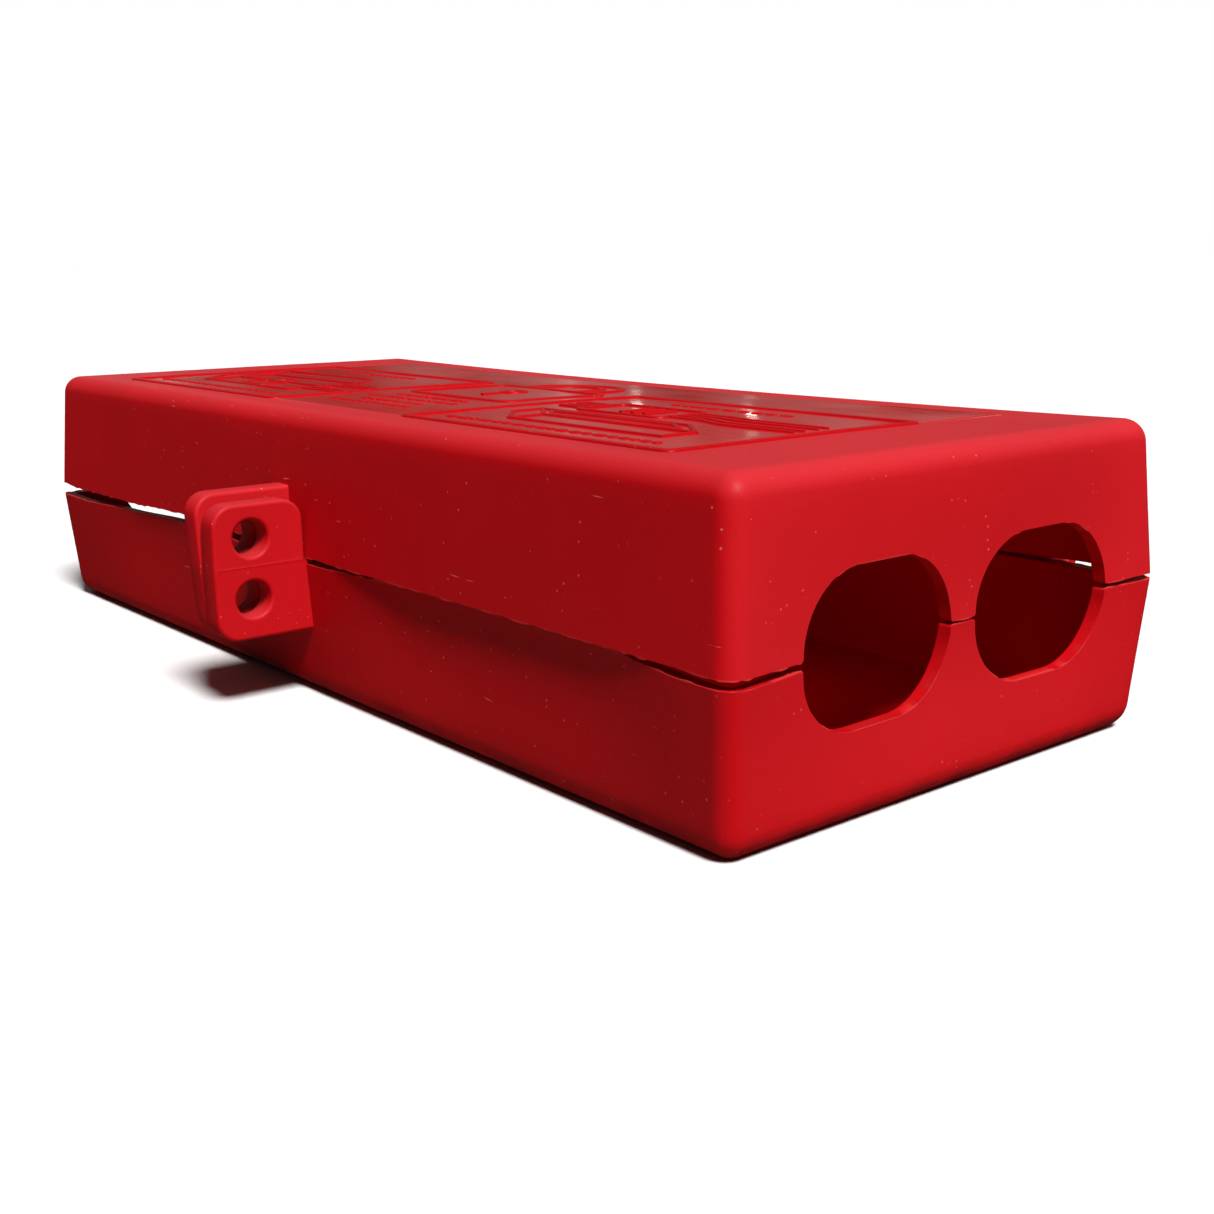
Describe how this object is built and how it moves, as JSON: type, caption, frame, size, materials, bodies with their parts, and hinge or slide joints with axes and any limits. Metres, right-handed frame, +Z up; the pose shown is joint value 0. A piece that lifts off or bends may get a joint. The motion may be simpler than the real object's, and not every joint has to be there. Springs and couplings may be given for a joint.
{
  "type": "cable connector lockout box",
  "caption": "Hinged clamshell lockout box that closes over cable connectors, with round-ended cable openings in its ends and a padlock hasp at mid-length.",
  "frame": {"origin": "middle of the base face, under the middle of the box without its hasp and hinge", "axes": "+X along the box to the right seen from the hasp side, +Y to the hinge side, +Z up through the lid"},
  "size_m": [0.2304, 0.1237, 0.0525],
  "materials": {
    "red_plastic": "satin, fine texture, with polished picture panel",
    "pin_steel": "drawn"
  },
  "bodies": {
    "base": {"lower_shell": "red_plastic", "lower_hasp_plate": "red_plastic", "lower_knuckle_left_1": "red_plastic", "lower_knuckle_left_2": "red_plastic", "lower_knuckle_right_1": "red_plastic", "lower_knuckle_right_2": "red_plastic", "hinge_pin_left": "pin_steel", "hinge_pin_right": "pin_steel"},
    "lid": {"upper_shell": "red_plastic", "upper_hasp_plate": "red_plastic", "upper_knuckle_left": "red_plastic", "upper_knuckle_right": "red_plastic"}
  },
  "joints": [
    {"name": "lid_hinge", "type": "hinge", "parent": "base", "child": "lid", "pos_m": [0, 0.0532, 0.026], "axis": [-1, 0, 0], "range_deg": [0, 178]}
  ]
}
